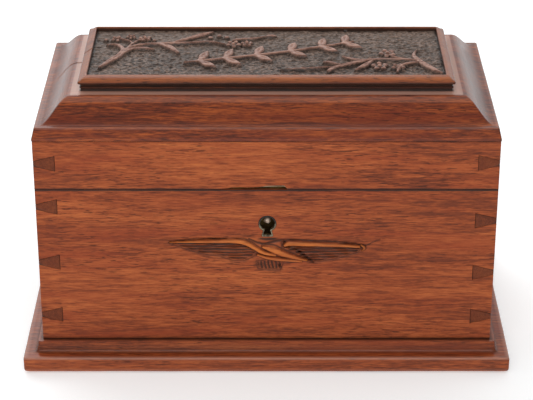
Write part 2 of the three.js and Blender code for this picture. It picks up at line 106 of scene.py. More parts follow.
WORLD_FRONT, WORLD_BACK = 0.42, 1.04  # the surroundings' brightness
FLOOR_COLOUR = (0.9, 0.925, 0.93)
FLOOR_GLOW = 0.31  # a lit table
FLOOR_SIZE, FLOOR_DROP = 12, 0.0002  # metres: how wide, and how far under the base
# Rows of name, place, target, size in metres and power in watts.
LIGHTS = [
    ("front_soft", (-0.08, -1.6, 0.95), (0, 0, 0.06), (1.4, 0.7), 10.3),
    ("back_soft", (-0.55, 1.0, 0.95), (0, 0, 0.05), (1.6, 0.8), 7),
]


def make_stage():
    world = bpy.data.worlds.new("studio")
    world.use_nodes = True
    nodes, links = world.node_tree.nodes, world.node_tree.links
    background = nodes["Background"]
    background.inputs["Color"].default_value = (1.0, 1.0, 1.0, 1)
    direction = nodes.new("ShaderNodeSeparateXYZ")
    links.new(nodes.new("ShaderNodeTexCoord").outputs["Generated"], direction.inputs[0])
    brighter = nodes.new("ShaderNodeMapRange")  # a dim studio in front and a bright backdrop behind
    links.new(direction.outputs["Y"], brighter.inputs["Value"])
    span = {"From Min": -0.6, "From Max": 0.8, "To Min": WORLD_FRONT, "To Max": WORLD_BACK}
    for key, value in span.items():
        brighter.inputs[key].default_value = value
    links.new(brighter.outputs[0], background.inputs["Strength"])
    scene = bpy.context.scene
    scene.world = world
    scene.view_settings.view_transform = "Standard"
    scene.view_settings.look = "None"
    bpy.ops.mesh.primitive_plane_add(size=FLOOR_SIZE, location=(0, 0, -FLOOR_DROP))
    floor = bpy.context.object
    floor.name = "floor"
    white = bpy.data.materials.new("white_floor")
    white.use_nodes = True
    shader = white.node_tree.nodes["Principled BSDF"]
    shader.inputs["Base Color"].default_value = (*FLOOR_COLOUR, 1)
    shader.inputs["Roughness"].default_value = 0.9
    shader.inputs["Specular IOR Level"].default_value = 0.1
    shader.inputs["Emission Color"].default_value = (1.0, 1.0, 1.0, 1)
    shader.inputs["Emission Strength"].default_value = FLOOR_GLOW
    floor.data.materials.append(white)
    for row in LIGHTS:
        area_light(*row)


# ---- Material building -----------------------------------------------------------------


class Shader:
    """A material's node tree, with short calls for the nodes that it uses."""

    def __init__(self, name):
        self.material = bpy.data.materials.new(name)
        self.material.use_nodes = True
        self.nodes = self.material.node_tree.nodes
        self.links = self.material.node_tree.links
        self.out = self.nodes["Principled BSDF"]

    def put(self, value, socket):
        if isinstance(value, bpy.types.NodeSocket):
            self.links.new(value, socket)
        elif isinstance(value, (tuple, list)) and len(value) == 3 and socket.type == "RGBA":
            socket.default_value = (*value, 1)
        else:
            socket.default_value = value

    def node(self, kind, out, settings=(), **inputs):
        node = self.nodes.new(kind)
        for key, value in dict(settings).items():
            setattr(node, key, value)
        for key, value in inputs.items():
            self.put(value, node.inputs[key.replace("_", " ")])
        return node.outputs[out]

    def place(self, scale, turn=0.0, shift=(0, 0, 0)):
        """Object coordinates in metres, turned about Z and then scaled."""
        here = self.node("ShaderNodeTexCoord", "Object")
        turned = self.node("ShaderNodeMapping", "Vector", Vector=here, Rotation=(0, 0, turn), Location=shift)
        return self.node("ShaderNodeMapping", "Vector", Vector=turned, Scale=scale)

    def noise(self, vector, detail, rough=0.5, warp=0.0):
        inputs = {"Scale": 1.0, "Detail": detail, "Roughness": rough, "Distortion": warp}
        return self.node("ShaderNodeTexNoise", "Fac", Vector=vector, **inputs)

    def ramp(self, value, *stops):
        node = self.nodes.new("ShaderNodeValToRGB")
        self.links.new(value, node.inputs["Fac"])
        elements = node.color_ramp.elements
        while len(elements) < len(stops):
            elements.new(0.5)
        for element, (at, colour) in zip(elements, stops):
            element.position = at
            element.color = (*colour, 1) if isinstance(colour, tuple) else (colour, colour, colour, 1)
        return node.outputs["Color"]

    def maths(self, how, a, b=0.0, clamp=False):
        node = self.nodes.new("ShaderNodeMath")
        node.operation = how
        node.use_clamp = clamp
        self.put(a, node.inputs[0])
        self.put(b, node.inputs[1])
        return node.outputs[0]

    def mix(self, factor, a, b):
        node = self.nodes.new("ShaderNodeMix")
        node.data_type = "RGBA"
        self.put(factor, node.inputs[0])
        self.put(a, node.inputs[6])
        self.put(b, node.inputs[7])
        return node.outputs[2]

    def attribute(self, name):
        return self.node("ShaderNodeAttribute", "Fac", {"attribute_name": name})

    def facing(self, axis):
        """How squarely the surface faces along one axis of the object, 0 to 1."""
        normal = self.node("ShaderNodeTexCoord", "Normal")
        parts = self.nodes.new("ShaderNodeSeparateXYZ")
        self.links.new(normal, parts.inputs[0])
        return self.maths("ABSOLUTE", parts.outputs[axis])

    def edge(self):
        """1 on the narrow faces worn along a board's edges, which face no axis squarely, else 0."""
        level = self.maths("MAXIMUM", self.facing(0), self.facing(1))
        squarest = self.maths("MAXIMUM", level, self.facing(2))
        return self.ramp(squarest, (0.9, 1.0), (0.985, 0.0))

    def coordinate(self, axis):
        here = self.node("ShaderNodeTexCoord", "Object")
        parts = self.nodes.new("ShaderNodeSeparateXYZ")
        self.links.new(here, parts.inputs[0])
        return parts.outputs[axis]

    def near(self, axis, level_mm, reach_mm):
        """1 at a level in millimetres along an axis, falling to 0 at the reach."""
        away = self.maths("ABSOLUTE", self.maths("SUBTRACT", self.coordinate(axis), level_mm * MM))
        return self.maths("SUBTRACT", 1.0, self.maths("DIVIDE", away, reach_mm * MM), clamp=True)

    def bump(self, height, distance_mm, strength):
        node = self.nodes.new("ShaderNodeBump")
        node.inputs["Strength"].default_value = strength
        node.inputs["Distance"].default_value = distance_mm * MM
        self.links.new(height, node.inputs["Height"])
        return node.outputs["Normal"]

    def finish(self, colour, roughness, normal, **constants):
        self.put(colour, self.out.inputs["Base Color"])
        self.put(roughness, self.out.inputs["Roughness"])
        self.links.new(normal, self.out.inputs["Normal"])
        for key, value in constants.items():
            self.out.inputs[key.replace("_", " ")].default_value = value
        return self.material


# Near-black, for dirt in joints and for painted shade.
DIRT_AND_SHADE = (0.018, 0.012, 0.009)
WAX_BLOOM_AND_SHEEN = (0.6, 0.34, 0.26)  # dusty wax on worn arrises and flats, and painted sheen where the flats face up
POLISH_AND_HIGHLIGHT = (0.62, 0.18, 0.035)  # the bird's rubbed ridges, lightened further as a painted highlight
# The light, middle and dark of each wood's figure.
RED_WOOD = (0.405, 0.098, 0.027), (0.285, 0.059, 0.0155), (0.15, 0.031, 0.0105)
DEEP_WOOD = (0.34, 0.074, 0.017), (0.18, 0.035, 0.012), (0.078, 0.018, 0.009)
INNER_WOOD = (0.30, 0.12, 0.055), (0.22, 0.08, 0.036), (0.13, 0.045, 0.02)


def mahogany(name, light, middle, dark, shift, along_y=False, seams=(), wax=0.5, bloom_and_sheen=None, polished_lit_rim=None):
    """Waxed mahogany: broad figure, streaks, open pores in patches, dark end grain, dirt in the seams.
    Seams are rows of axis, level, reach and amount. The bloom colour is that of the rubbed ridges of a
    carved piece, partly a painted sheen and highlight, and the rim is the level and reach of a polished
    rim, lightened also as a painted highlight."""
    s = Shader(name)
    turn = math.pi / 2 if along_y else 0.0
    grain_axis = 1 if along_y else 0
    offset = (shift, shift * 0.37, shift * 0.61)
    figure = s.noise(s.place((6, 36, 36), turn, offset), detail=3, warp=0.8)
    streak = s.noise(s.place((30, 380, 380), turn, offset), detail=4, rough=0.65, warp=0.4)
    fine = s.noise(s.place((120, 1300, 1300), turn, offset), detail=3, rough=0.7)
    tone = s.maths("ADD", s.maths("MULTIPLY", figure, 0.27), s.maths("MULTIPLY", streak, 0.35))
    tone = s.maths("ADD", tone, s.maths("MULTIPLY", fine, 0.38))
    golden = (light[0] * 1.2, light[1] * 1.32, light[2] * 1.2)
    colour = s.ramp(tone, (0.415, dark), (0.495, middle), (0.575, light), (0.66, golden))
    # A band at the rim is lightened for its polish and as a painted highlight on the lip's lit top.
    if polished_lit_rim is not None:
        level, reach = polished_lit_rim
        colour = s.mix(s.maths("MULTIPLY", s.near(2, level, reach), 0.7), colour, (0.42, 0.125, 0.034))
    red = s.noise(s.place((9, 90, 90), turn, offset), detail=2, warp=0.5)
    ruddy = tuple(c * k for c, k in zip(middle, (0.92, 0.72, 0.8)))
    colour = s.mix(s.ramp(red, (0.5, 0.0), (0.68, 0.55)), colour, ruddy)
    dash = s.noise(s.place((170, 2000, 2000), turn, offset), detail=1.5, rough=0.5)
    patch = s.noise(s.place((16, 70, 70), turn, offset), detail=2)
    open_here = s.ramp(patch, (0.36, 0.3), (0.6, 1.0))
    pores = s.maths("MULTIPLY", s.ramp(dash, (0.585, 0.0), (0.645, 1.0)), open_here)
    colour = s.mix(s.maths("MULTIPLY", pores, 0.72), colour, tuple(c * 0.3 for c in dark))

    speckle = s.noise(s.place((900, 900, 900)), detail=2)
    end_colour = s.mix(speckle, tuple(c * 0.25 for c in dark), tuple(c * 0.6 for c in middle))
    end_grain = s.maths("POWER", s.facing(grain_axis), 1.3)
    colour = s.mix(s.maths("MULTIPLY", end_grain, 0.76), colour, end_colour)

    grime = s.noise(s.place((60, 60, 120)), detail=3)
    for axis, level, reach, amount in seams:
        mark = s.maths("POWER", s.near(axis, level, reach), 1.6)
        upright = s.maths("SUBTRACT", 1.0, s.facing(2))
        dirty = s.maths("MULTIPLY", grime, amount * 2.0)
        mark = s.maths("MULTIPLY", s.maths("MULTIPLY", mark, upright), dirty, clamp=True)
        colour = s.mix(mark, colour, DIRT_AND_SHADE)
    if bloom_and_sheen is None:
        colour = s.mix(s.maths("MULTIPLY", s.edge(), 0.8), colour, DIRT_AND_SHADE)
    rough = s.maths("ADD", 0.36, s.maths("MULTIPLY", streak, 0.22))
    # Carved boards carry two fields: the first darkens with dirt and painted shade, the second lightens with
    # wear and painted sheen and highlight.
    if bloom_and_sheen is not None:
        dirt_and_shade = s.attribute("dirt_and_shade")
        colour = s.mix(s.maths("MULTIPLY", dirt_and_shade, 0.92, clamp=True), colour, DIRT_AND_SHADE)
        wear_and_sheen = s.attribute("wear_and_sheen")
        colour = s.mix(s.maths("MULTIPLY", wear_and_sheen, 0.8, clamp=True), colour, bloom_and_sheen)
        rough = s.maths("ADD", rough, s.maths("MULTIPLY", dirt_and_shade, 0.3), clamp=True)
    normal = s.bump(s.maths("SUBTRACT", streak, s.maths("MULTIPLY", pores, 0.8)), 0.12, 0.5)
    return s.finish(
        colour, rough, normal, Coat_Weight=wax, Coat_Roughness=0.2, Coat_IOR=1.27, Specular_IOR_Level=0.1
    )


def carved_ground():
    """The tray's stippled ground, dry and grey with dust, lightened towards the back as a painted sheen,
    under relief that handling has polished.
    """
    s = Shader("mahogany_carved_ground")
    stipple = s.noise(s.place((520, 900, 900)), detail=3, rough=0.75)
    cloud = s.noise(s.place((35, 70, 70)), detail=2)
    pit, low, high = (0.014, 0.009, 0.007), (0.088, 0.052, 0.037), (0.27, 0.175, 0.13)
    ground = s.ramp(stipple, (0.38, pit), (0.5, low), (0.62, high))
    ground = s.mix(s.ramp(cloud, (0.4, 0.0), (0.7, 0.45)), ground, (0.036, 0.023, 0.018))
    # Painted sheen: the ground lightens towards the back.
    ground = s.mix(s.maths("MULTIPLY", s.near(1, 42, 60), 0.32), ground, (0.24, 0.165, 0.125))
    grain = s.noise(s.place((60, 700, 700)), detail=3, rough=0.6)
    relief = s.ramp(grain, (0.38, (0.19, 0.085, 0.058)), (0.62, (0.42, 0.225, 0.165)))
    colour = s.mix(s.attribute("wear_and_sheen"), ground, relief)
    dirt_and_shade = s.attribute("dirt_and_shade")
    colour = s.mix(s.maths("MULTIPLY", dirt_and_shade, 0.9, clamp=True), colour, DIRT_AND_SHADE)
    rough = s.maths("SUBTRACT", 0.72, s.maths("MULTIPLY", s.attribute("wear_and_sheen"), 0.26))
    normal = s.bump(stipple, 0.45, 0.7)
    return s.finish(colour, rough, normal, Coat_Weight=0.3, Coat_Roughness=0.3, Specular_IOR_Level=0.1)


# ---- Meshes ----------------------------------------------------------------------------


NOISE_TABLE = 128  # rows and columns
SHARP, SHALLOW = math.radians(40), math.radians(35)  # edges that wear, and edges shaded smooth
WELD = 1e-6  # metres


def link_mesh(name, verts_mm, faces):
    mesh = bpy.data.meshes.new(name)
    mesh.from_pydata((np.asarray(verts_mm) * MM).tolist(), [], faces)
    piece = bpy.data.objects.new(name, mesh)
    bpy.context.collection.objects.link(piece)
    return piece


def make_object(name, verts_mm, faces, material, smooth, fields):
    """A smooth-shaded piece, sharp at edges above an angle in degrees, with a number at each vertex
    for every field."""
    piece = link_mesh(name, verts_mm, faces)
    mesh = piece.data
    mesh.update()
    mesh.polygons.foreach_set("use_smooth", np.ones(len(mesh.polygons), dtype=bool))
    mesh.set_sharp_from_angle(angle=math.radians(smooth))
    for key, values in fields.items():
        attribute = mesh.attributes.new(key, "FLOAT", "POINT")
        attribute.data.foreach_set("value", np.ascontiguousarray(values, dtype=np.float32))
    mesh.materials.append(material)
    return piece


def value_noise(x, y, cell, seed):
    """Smooth noise from -1 to 1 at places in millimetres, with cells of the given two sizes."""
    table = np.random.default_rng(seed).uniform(-1, 1, (NOISE_TABLE, NOISE_TABLE))
    gx, gy = x / cell[0], y / cell[1]
    ix, iy = np.floor(gx).astype(int), np.floor(gy).astype(int)
    fx, fy = gx - ix, gy - iy
    fx, fy = fx * fx * (3 - 2 * fx), fy * fy * (3 - 2 * fy)

    def at(i, j):
        return table[i % NOISE_TABLE, j % NOISE_TABLE]

    low = at(ix, iy) * (1 - fx) + at(ix + 1, iy) * fx
    high = at(ix, iy + 1) * (1 - fx) + at(ix + 1, iy + 1) * fx
    return low * (1 - fy) + high * fy


def smoothstep(values, low, high):
    t = np.clip((values - low) / (high - low), 0, 1)
    return t * t * (3 - 2 * t)


def spline(points, steps=6):
    """A smooth curve through points, each a row of numbers: places, and a width."""
    p = np.array(points, dtype=float)
    p = np.vstack([2 * p[0] - p[1], p, 2 * p[-1] - p[-2]])
    out = []
    for a, b, c, d in zip(p, p[1:], p[2:], p[3:]):
        for t in np.arange(steps) / steps:
            square, cube = 2 * a - 5 * b + 4 * c - d, 3 * b - a - 3 * c + d
            out.append(0.5 * (2 * b + (c - a) * t + square * t**2 + cube * t**3))
    return np.vstack([out, p[-2:-1]])


def from_segment(x, y, a, b):
    """How far along a segment the nearest point lies, 0 to 1, and how far away it is."""
    run = b[:2] - a[:2]
    t = np.clip(((x - a[0]) * run[0] + (y - a[1]) * run[1]) / max(run @ run, 1e-9), 0, 1)
    return t, np.hypot(x - a[0] - t * run[0], y - a[1] - t * run[1])


def stroke_depth(x, y, points, in_mm=False):
    """1 on the middle line of a tapering stroke, 0 at its edge, less outside, or how far inside in
    millimetres. Points are (x, y, half width)."""
    line = spline(points)
    best = np.full(x.shape, -9.0)
    for a, b in zip(line, line[1:]):
        t, away = from_segment(x, y, a, b)
        width = np.maximum(a[2] + t * (b[2] - a[2]), 0.12)
        best = np.maximum(best, width - away if in_mm else 1 - away / width)
    return best


def crown(depth, shoulder=0.6):
    """A rounded, flat-topped section for a stroke."""
    t = np.clip(depth / shoulder, 0, 1)
    return 1 - (1 - t) ** 2


def rounded(x, y, half, radius):
    """Moves points near a rectangle's corners onto an arc."""
    ax, ay = np.abs(x), np.abs(y)
    cx, cy = half[0] - radius, half[1] - radius
    tx, ty = np.clip((ax - cx) / radius, 0, 1), np.clip((ay - cy) / radius, 0, 1)
    corner = (tx > 0) & (ty > 0)
    swing = np.where(tx >= ty, ty, 2 - tx) * math.pi / 4
    nx = np.where(corner, cx + radius * np.cos(swing), ax)
    ny = np.where(corner, cy + radius * np.sin(swing), ay)
    return np.sign(x) * nx, np.sign(y) * ny


def ring_steps(half, step):
    """Even steps along the two sides of a rectangle, in millimetres."""
    return max(2, round(2 * half[0] / step)), max(2, round(2 * half[1] / step))


def unit_ring(nx, ny):
    """Points round a square of half size 1, anticlockwise from its lowest corner."""
    u, v = np.linspace(-1, 1, nx + 1), np.linspace(-1, 1, ny + 1)
    sides = [
        np.column_stack([u[:-1], -np.ones(nx)]),
        np.column_stack([np.ones(ny), v[:-1]]),
        np.column_stack([u[:0:-1], np.ones(nx)]),
        np.column_stack([-np.ones(ny), v[:0:-1]]),
    ]
    return np.vstack(sides)


def grid_quads(index):
    """Four-sided faces over a grid of vertex numbers."""
    return np.stack([index[:-1, :-1], index[1:, :-1], index[1:, 1:], index[:-1, 1:]], axis=-1).reshape(-1, 4)


def moulded_board(name, profile, step, material, centre_height, shape, corner, shift=0.0, top=None):
    """A board moulded on four edges. profile has rows of inset, height, dirt and painted shade, and wear and
    painted sheen, from the underside's edge to the middle of the top, which is a grid with its own height
    field, set back by shift and with its own material if top is one."""
    nx, ny = ring_steps(HALF, step)
    ring = unit_ring(nx, ny)
    count = len(ring)
    verts, dirt_and_shade, wear_and_sheen = [], [], []
    for inset, z, ring_dirt_and_shade, ring_wear_and_sheen in profile:
        half = HALF - inset
        x, y = rounded(ring[:, 0] * half[0], ring[:, 1] * half[1], half, corner)
        x, y, height = shape(x, y, np.full(count, float(z)), half)
        verts.append(np.column_stack([x, y, height]))
        dirt_and_shade.append(np.full(count, ring_dirt_and_shade))
        wear_and_sheen.append(np.full(count, ring_wear_and_sheen))
    faces = []
    around = np.arange(count)
    after = (around + 1) % count
    for r in range(len(profile) - 1):
        a, b = r * count, (r + 1) * count
        faces += np.column_stack([a + around, a + after, b + after, b + around]).tolist()
    faces.append(around[::-1].tolist())

    half = HALF - profile[-1][0]
    across, along = np.linspace(-half[0], half[0], nx + 1), np.linspace(-half[1], half[1], ny + 1)
    gx, gy = np.meshgrid(across, along, indexing="ij")
    gy = gy + shift
    gz, grid_dirt_and_shade, grid_wear_and_sheen = centre_height(gx, gy, profile[-1][1])
    edge = {}
    last = (len(profile) - 1) * count
    for k, (u, v) in enumerate(ring):
        edge[(round((u + 1) / 2 * nx), round((v + 1) / 2 * ny))] = last + k
    index = np.zeros((nx + 1, ny + 1), dtype=int)
    start = len(profile) * count
    inner = [(i, j) for i in range(1, nx) for j in range(1, ny)]
    for (i, j), k in edge.items():
        index[i, j] = k
    for n, (i, j) in enumerate(inner):
        index[i, j] = start + n
    rows = np.array(inner)
    verts.append(np.column_stack([f[rows[:, 0], rows[:, 1]] for f in (gx, gy, gz)]))
    dirt_and_shade.append(grid_dirt_and_shade[rows[:, 0], rows[:, 1]])
    wear_and_sheen.append(grid_wear_and_sheen[rows[:, 0], rows[:, 1]])
    quads = grid_quads(index)
    faces += quads.tolist()
    fields = {"dirt_and_shade": np.concatenate(dirt_and_shade), "wear_and_sheen": np.concatenate(wear_and_sheen)}
    board = make_object(name, np.vstack(verts), faces, material, 38.0, fields)
    if top is not None:
        board.data.materials.append(top)
        on_top = np.zeros(len(faces), dtype=np.int32)
        on_top[-len(quads):] = 1
        board.data.polygons.foreach_set("material_index", on_top)
    return board


# ---- The lid's top board ---------------------------------------------------------------

# The left spray: rows of x, y and half width, in millimetres, on the tray's ground.
LEFT_SPRAY = [
    [(-95, -21, 1.0), (-90, -12, 2.0), (-85, -3, 2.2), (-83.5, 6, 1.7), (-87, 13, 1.3), (-93.5, 14, 0.4)],
    [(-85, -2, 1.6), (-79, 6.5, 1.5), (-72, 8.5, 1.5), (-65, 6, 0.4)],
    [(-84, 4, 1.3), (-75, 13, 1.2), (-62, 15.4, 1.3), (-45, 16.8, 1.0), (-34, 18.6, 0.9), (-24, 14.5, 0.5)],
    [(-64, 15.3, 0.8), (-57, 10.5, 2.3), (-51.2, 1.5, 1.0)],
    [(-56, 16, 0.8), (-46, 23.5, 1.7), (-38, 29.5, 2.0), (-31, 34.4, 0.4)],
    [(-81, 8, 1.0), (-79, 17, 0.8), (-84, 22, 0.8), (-88, 23, 0.5)],
    [(-79, 14, 0.9), (-75, 21, 0.8), (-69, 24, 0.5)],
    [(-20, 20.5, 0.6), (-13, 23, 1.1), (-7, 23.6, 0.8), (-1, 26.6, 0.5)],
    [(-1, 26.6, 0.4), (3, 28, 1.6), (6, 27.4, 0.4)],
]
RIGHT_SPRAY = [
    [(99, -30, 0.9), (94, -23.5, 2.1), (88, -12.5, 2.0), (85, -3, 1.4), (87.6, 6.5, 0.4)],
    [(88, -13, 1.0), (80, -16, 1.3), (75.6, -21.5, 1.1), (74, -28, 0.8)],
    [(87, -11, 1.2), (79, -9, 1.1), (73, -5, 0.9), (70.6, 0, 0.6)],
    [(80, -9.5, 0.8), (64, -9, 1.2), (56, -11.5, 1.6), (46, -17, 1.7), (39, -21.5, 1.5), (35.5, -26, 1.5)],
    [(61, -11, 0.8), (56, -18.5, 1.9), (50, -25.5, 0.5)],
    [(57, -10.5, 0.6), (49, -9, 1.5), (43.6, -4.6, 0.5)],
    [(43, -18, 0.6), (36, -14, 1.5), (32.5, -13.4, 0.5)],
    [(39, -20, 0.4), (27, -22.4, 0.8), (8, -24, 0.3)],
]
# A running sprig of paired leaves across the middle, on a rising stem.
SPRIG_STEM = [
    (-47, -14, 0.8), (-30, -9.5, 1.3), (-8, -3.5, 1.3),
    (14, 3.5, 1.3), (36, 12, 1.2), (51, 18.5, 0.8),
]
SPRIG_LEAVES = 6
FLOWERS = [  # x, y, radius and turn
    (-19.4, 14.8, 5.4, 0.2), (-11.5, 15.5, 4.4, 0.9), (70, 0.6, 6.2, 0.5), (64.5, -19, 6.0, 0.9),
    (75, -20.5, 5.0, 0.3), (-88, 23.5, 4.4, 0.1), (-71.5, 24, 4.6, 0.7), (-80, 26.6, 3.6, 0.4),
]
BUDS = [  # x, y and radius
    (-33, 25.5, 2.0), (-28, 28.2, 2.1), (-23.4, 26.2, 2.0),
    (-17.5, 22.5, 1.7), (-94.5, 22, 1.7), (-66, 21, 1.6),
]
RELIEF = 2.15  # how far the carving stands off the ground


def sprig_strokes():
    """The stem, and a pair of slender curved leaves at each of its even stations."""
    strokes = [SPRIG_STEM]
    line = spline(SPRIG_STEM, 10)
    for k in range(SPRIG_LEAVES):
        at = int((k + 0.6) / (SPRIG_LEAVES + 0.2) * (len(line) - 1))
        here = line[at, :2]
        run = line[at + 1, :2] - line[at - 1, :2]
        run = run / np.hypot(*run)
        side = np.array([-run[1], run[0]])
        for way, reach in ((1, 16.0 - 0.5 * k), (-1, 14.0 - 0.3 * k)):
            tip = here + run * reach * 0.66 + side * way * reach * 0.84
            middle = here + run * reach * 0.4 + side * way * reach * 0.46
            near = here + run * reach * 0.2 + side * way * reach * 0.12
            strokes.append([(*here, 0.8), (*near, 1.8), (*middle, 2.9), (*tip, 0.3)])
    return strokes


def flower_height(x, y, cx, cy, radius, turn):
    """Five round petals about a button."""
    dx, dy = x - cx, (y - cy) * 0.9
    away = np.hypot(dx, dy) / radius
    angle = np.arctan2(dy, dx) + turn
    lobes = 0.8 + 0.2 * np.cos(5 * angle)
    petal = crown(1 - away / np.maximum(lobes, 0.2), 0.35)
    cut = 0.5 * smoothstep(-np.cos(5 * angle), 0.55, 1.0) * smoothstep(away, 0.25, 0.6)
    dish = 0.42 * smoothstep(away, 0.62, 0.28)
    button = 0.62 * smoothstep(away, 0.26, 0.12)
    return np.clip(petal - cut * petal - dish * petal, 0, 1) + button * (away < 0.3)


def lid_carving(x, y, ground):
    """Height, dirt and painted shade, and wear of the tray's sunk ground with its relief, in millimetres."""
    relief = np.zeros(x.shape)
    strokes = LEFT_SPRAY + RIGHT_SPRAY + sprig_strokes()
    for points in strokes:
        inside = stroke_depth(x, y, points, in_mm=True)
        broadest = max(p[2] for p in points)
        vein = 0.22 * smoothstep(inside, broadest - 0.9, broadest - 0.2) if broadest > 1.45 else 0.0
        rise = smoothstep(inside, -0.25, 0.55) * (1 - vein) * (0.86 + 0.14 * smoothstep(inside, 0.2, 1.4))
        relief = np.maximum(relief, RELIEF * rise)
    for flower in FLOWERS:
        relief = np.maximum(relief, RELIEF * 0.92 * flower_height(x, y, *flower))
    for cx, cy, radius in BUDS:
        relief = np.maximum(relief, RELIEF * 0.85 * crown(1 - np.hypot(x - cx, y - cy) / radius, 0.7))
    tooling = 0.27 * value_noise(x, y, (2.6, 1.2), 3) + 0.26 * value_noise(x, y, (1.3, 1.0), 4)
    tooling += 0.14 * value_noise(x, y, (9.0, 2.2), 5)
    bare = 1 - smoothstep(relief, 0.15, 0.8)
    height = ground + relief + tooling * bare + 0.05 * value_noise(x, y, (3, 1.2), 6) * (1 - bare)
    border = np.minimum(HALF[0] - LIP_INSET - np.abs(x), HALF[1] - LIP_INSET - np.abs(y - TRAY_SHIFT))
    edge = 1 - smoothstep(border, 0.0, 1.6)
    foot = smoothstep(relief, 0.02, 0.3) * (1 - smoothstep(relief, 0.9, 1.7))
    pits = smoothstep(-tooling, 0.02, 0.3) * bare
    # The ground darkens at the lip's walls and at the relief's foot with dirt and painted shade, and in the
    # tool's pits.
    dirt_and_shade = np.clip(0.8 * foot + 0.85 * edge + 0.5 * pits, 0, 1)
    wear_and_sheen = smoothstep(relief, 0.9, 1.6)
    split = split_mask(x, y)
    height = height - 0.7 * split * bare
    return height, np.clip(dirt_and_shade + 0.8 * split * bare, 0, 1), wear_and_sheen


def split_mask(x, y):
    """The shrinkage split that runs in along the grain from the left end."""
    line = 1.0 + 0.9 * value_noise(x, y * 0, (7, 1), 11) + 0.02 * (x + 130)
    thin = 1 - smoothstep(np.abs(y - line), 0.12, 0.55)
    return thin * (1 - smoothstep(x, -96, -62))


LIP_INSET = 29.2  # from the body's outline to the tray's ground
TRAY_SHIFT = 2.3  # how far the ground lies behind the middle
LID_STEP, BASE_STEP, BIRD_STEP = 0.62, 1.6, 0.33  # the mesh's spacing
LID_CORNER, BASE_CORNER = 0.9, 1.3  # how far the boards' corners are rounded


def lid_profile():
    """Rows of inset, height, dirt and painted shade, and wear and painted sheen up the lid board's mouldings.
    """
    bottom, top = LID_LOW[2], LID_HIGH[2]
    over = HALF[0] - LID_HIGH[0]
    arris, flat = bottom + 7.75, bottom + 19.75
    rows = [(0.25, bottom, 0.8, 0), (over * 0.8, bottom + 0.35, 0.25, 0), (over, bottom + 1.0, 0, 0)]
    for t in (0.3, 0.6, 0.85, 1):
        rows.append((over * (1 - t) + 1.0 * t, bottom + 1 + (arris - bottom - 1.8) * t, 0, 0))
    # The arris is lightened for wear and as a painted highlight.
    rows += [(1.15, arris - 0.35, 0, 0.05), (1.45, arris - 0.08, 0, 0.25)]
    rows += [(1.9, arris, 0, 0.15), (3.4, arris, 0.2, 0)]
    # The ogee's lower run is lightened in a band as painted sheen.
    for t in np.linspace(0.04, 1, 22):
        ogee = arris + (flat - arris) * (0.5 - 0.5 * math.cos(t * math.pi))
        rows.append((3.7 + 16.0 * t, ogee, 0.12 * (t < 0.2), 0.15 * (0.7 < t < 0.9)))
    # The flat before the tray is lightened as painted sheen.
    rows += [(20.4, flat, 0, 0.7), (22.5, flat, 0, 1.0), (24.4, flat + 0.05, 0, 0.9)]
    # The groove under the lip is darkened with dirt in the seam and with painted shade.
    rows += [(25.4, flat + 0.2, 1, 0), (25.7, flat + 1.0, 1, 0)]
    rows += [(25.65, flat + 1.7, 0.85, 0), (25.1, flat + 2.1, 0.7, 0)]
    rows += [(25.1, flat + 2.6, 0.8, 0), (25.7, flat + 3.0, 1, 0)]
    lip_low = top - 3.6
    rows += [(25.5, lip_low, 0.95, 0)]
    # The lower half of the lip's roll is painted dark as shade.
    for t in np.linspace(0.05, 0.95, 12):
        inset = 25.0 - 0.9 * math.sin(t * math.pi)
        lean = 0.9 * (t - 0.6) if t > 0.6 else 0
        lip = lip_low + 1.05 * (1 - math.cos(t * math.pi))
        rows.append((inset + lean, lip, 0.85 * (1 - smoothstep(t, 0.4, 0.8)), 0))
    rows += [(25.8, top - 1.1, 0, 0), (26.5, top - 0.68, 0, 0)]
    rows += [(27.3, top - 0.33, 0, 0), (28.0, top - 0.1, 0, 0)]
    rows += [(28.45, top, 0, 0.1), (28.7, top - 0.2, 0, 0.2), (28.85, top - 0.5, 0.1, 0)]
    # The lip's inner wall is painted dark as shade.
    rows += [(29.0, top - 1.2, 0.9, 0), (LIP_INSET, top - 2.6, 1, 0)]
    return rows


def lid_shape(x, y, z, half):
    """Hand work: a slow wander in the mouldings, and the split at the left end."""
    inset = HALF[0] - half[0]
    wander = 0.14 * value_noise(x + 3 * z, y - 2 * z, (34, 34), 21) + 0.05 * value_noise(x, y + z, (6, 6), 22)
    held = 1 if 0.3 < inset < 29 else 0
    split = split_mask(x, y) * (1 if 8 < inset < 29.1 else 0) * (x < 0)
    top = z + wander * 0.45 * held - 0.5 * split
    back = TRAY_SHIFT * smoothstep(inset, 26.0, 28.6)
    x = x - np.sign(x) * np.abs(wander) * 0.5 * held
    return x, y - np.sign(y) * np.abs(wander) * 0.5 * held + back, np.minimum(top, LID_HIGH[2])


def make_lid_board(material, top):
    board = moulded_board(
        "carved_lid_board", lid_profile(), LID_STEP, material, lid_carving, lid_shape,
        LID_CORNER, TRAY_SHIFT, top,
    )
    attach(board, "lid")
    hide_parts("lid_top_board")


# ---- The base board --------------------------------------------------------------------


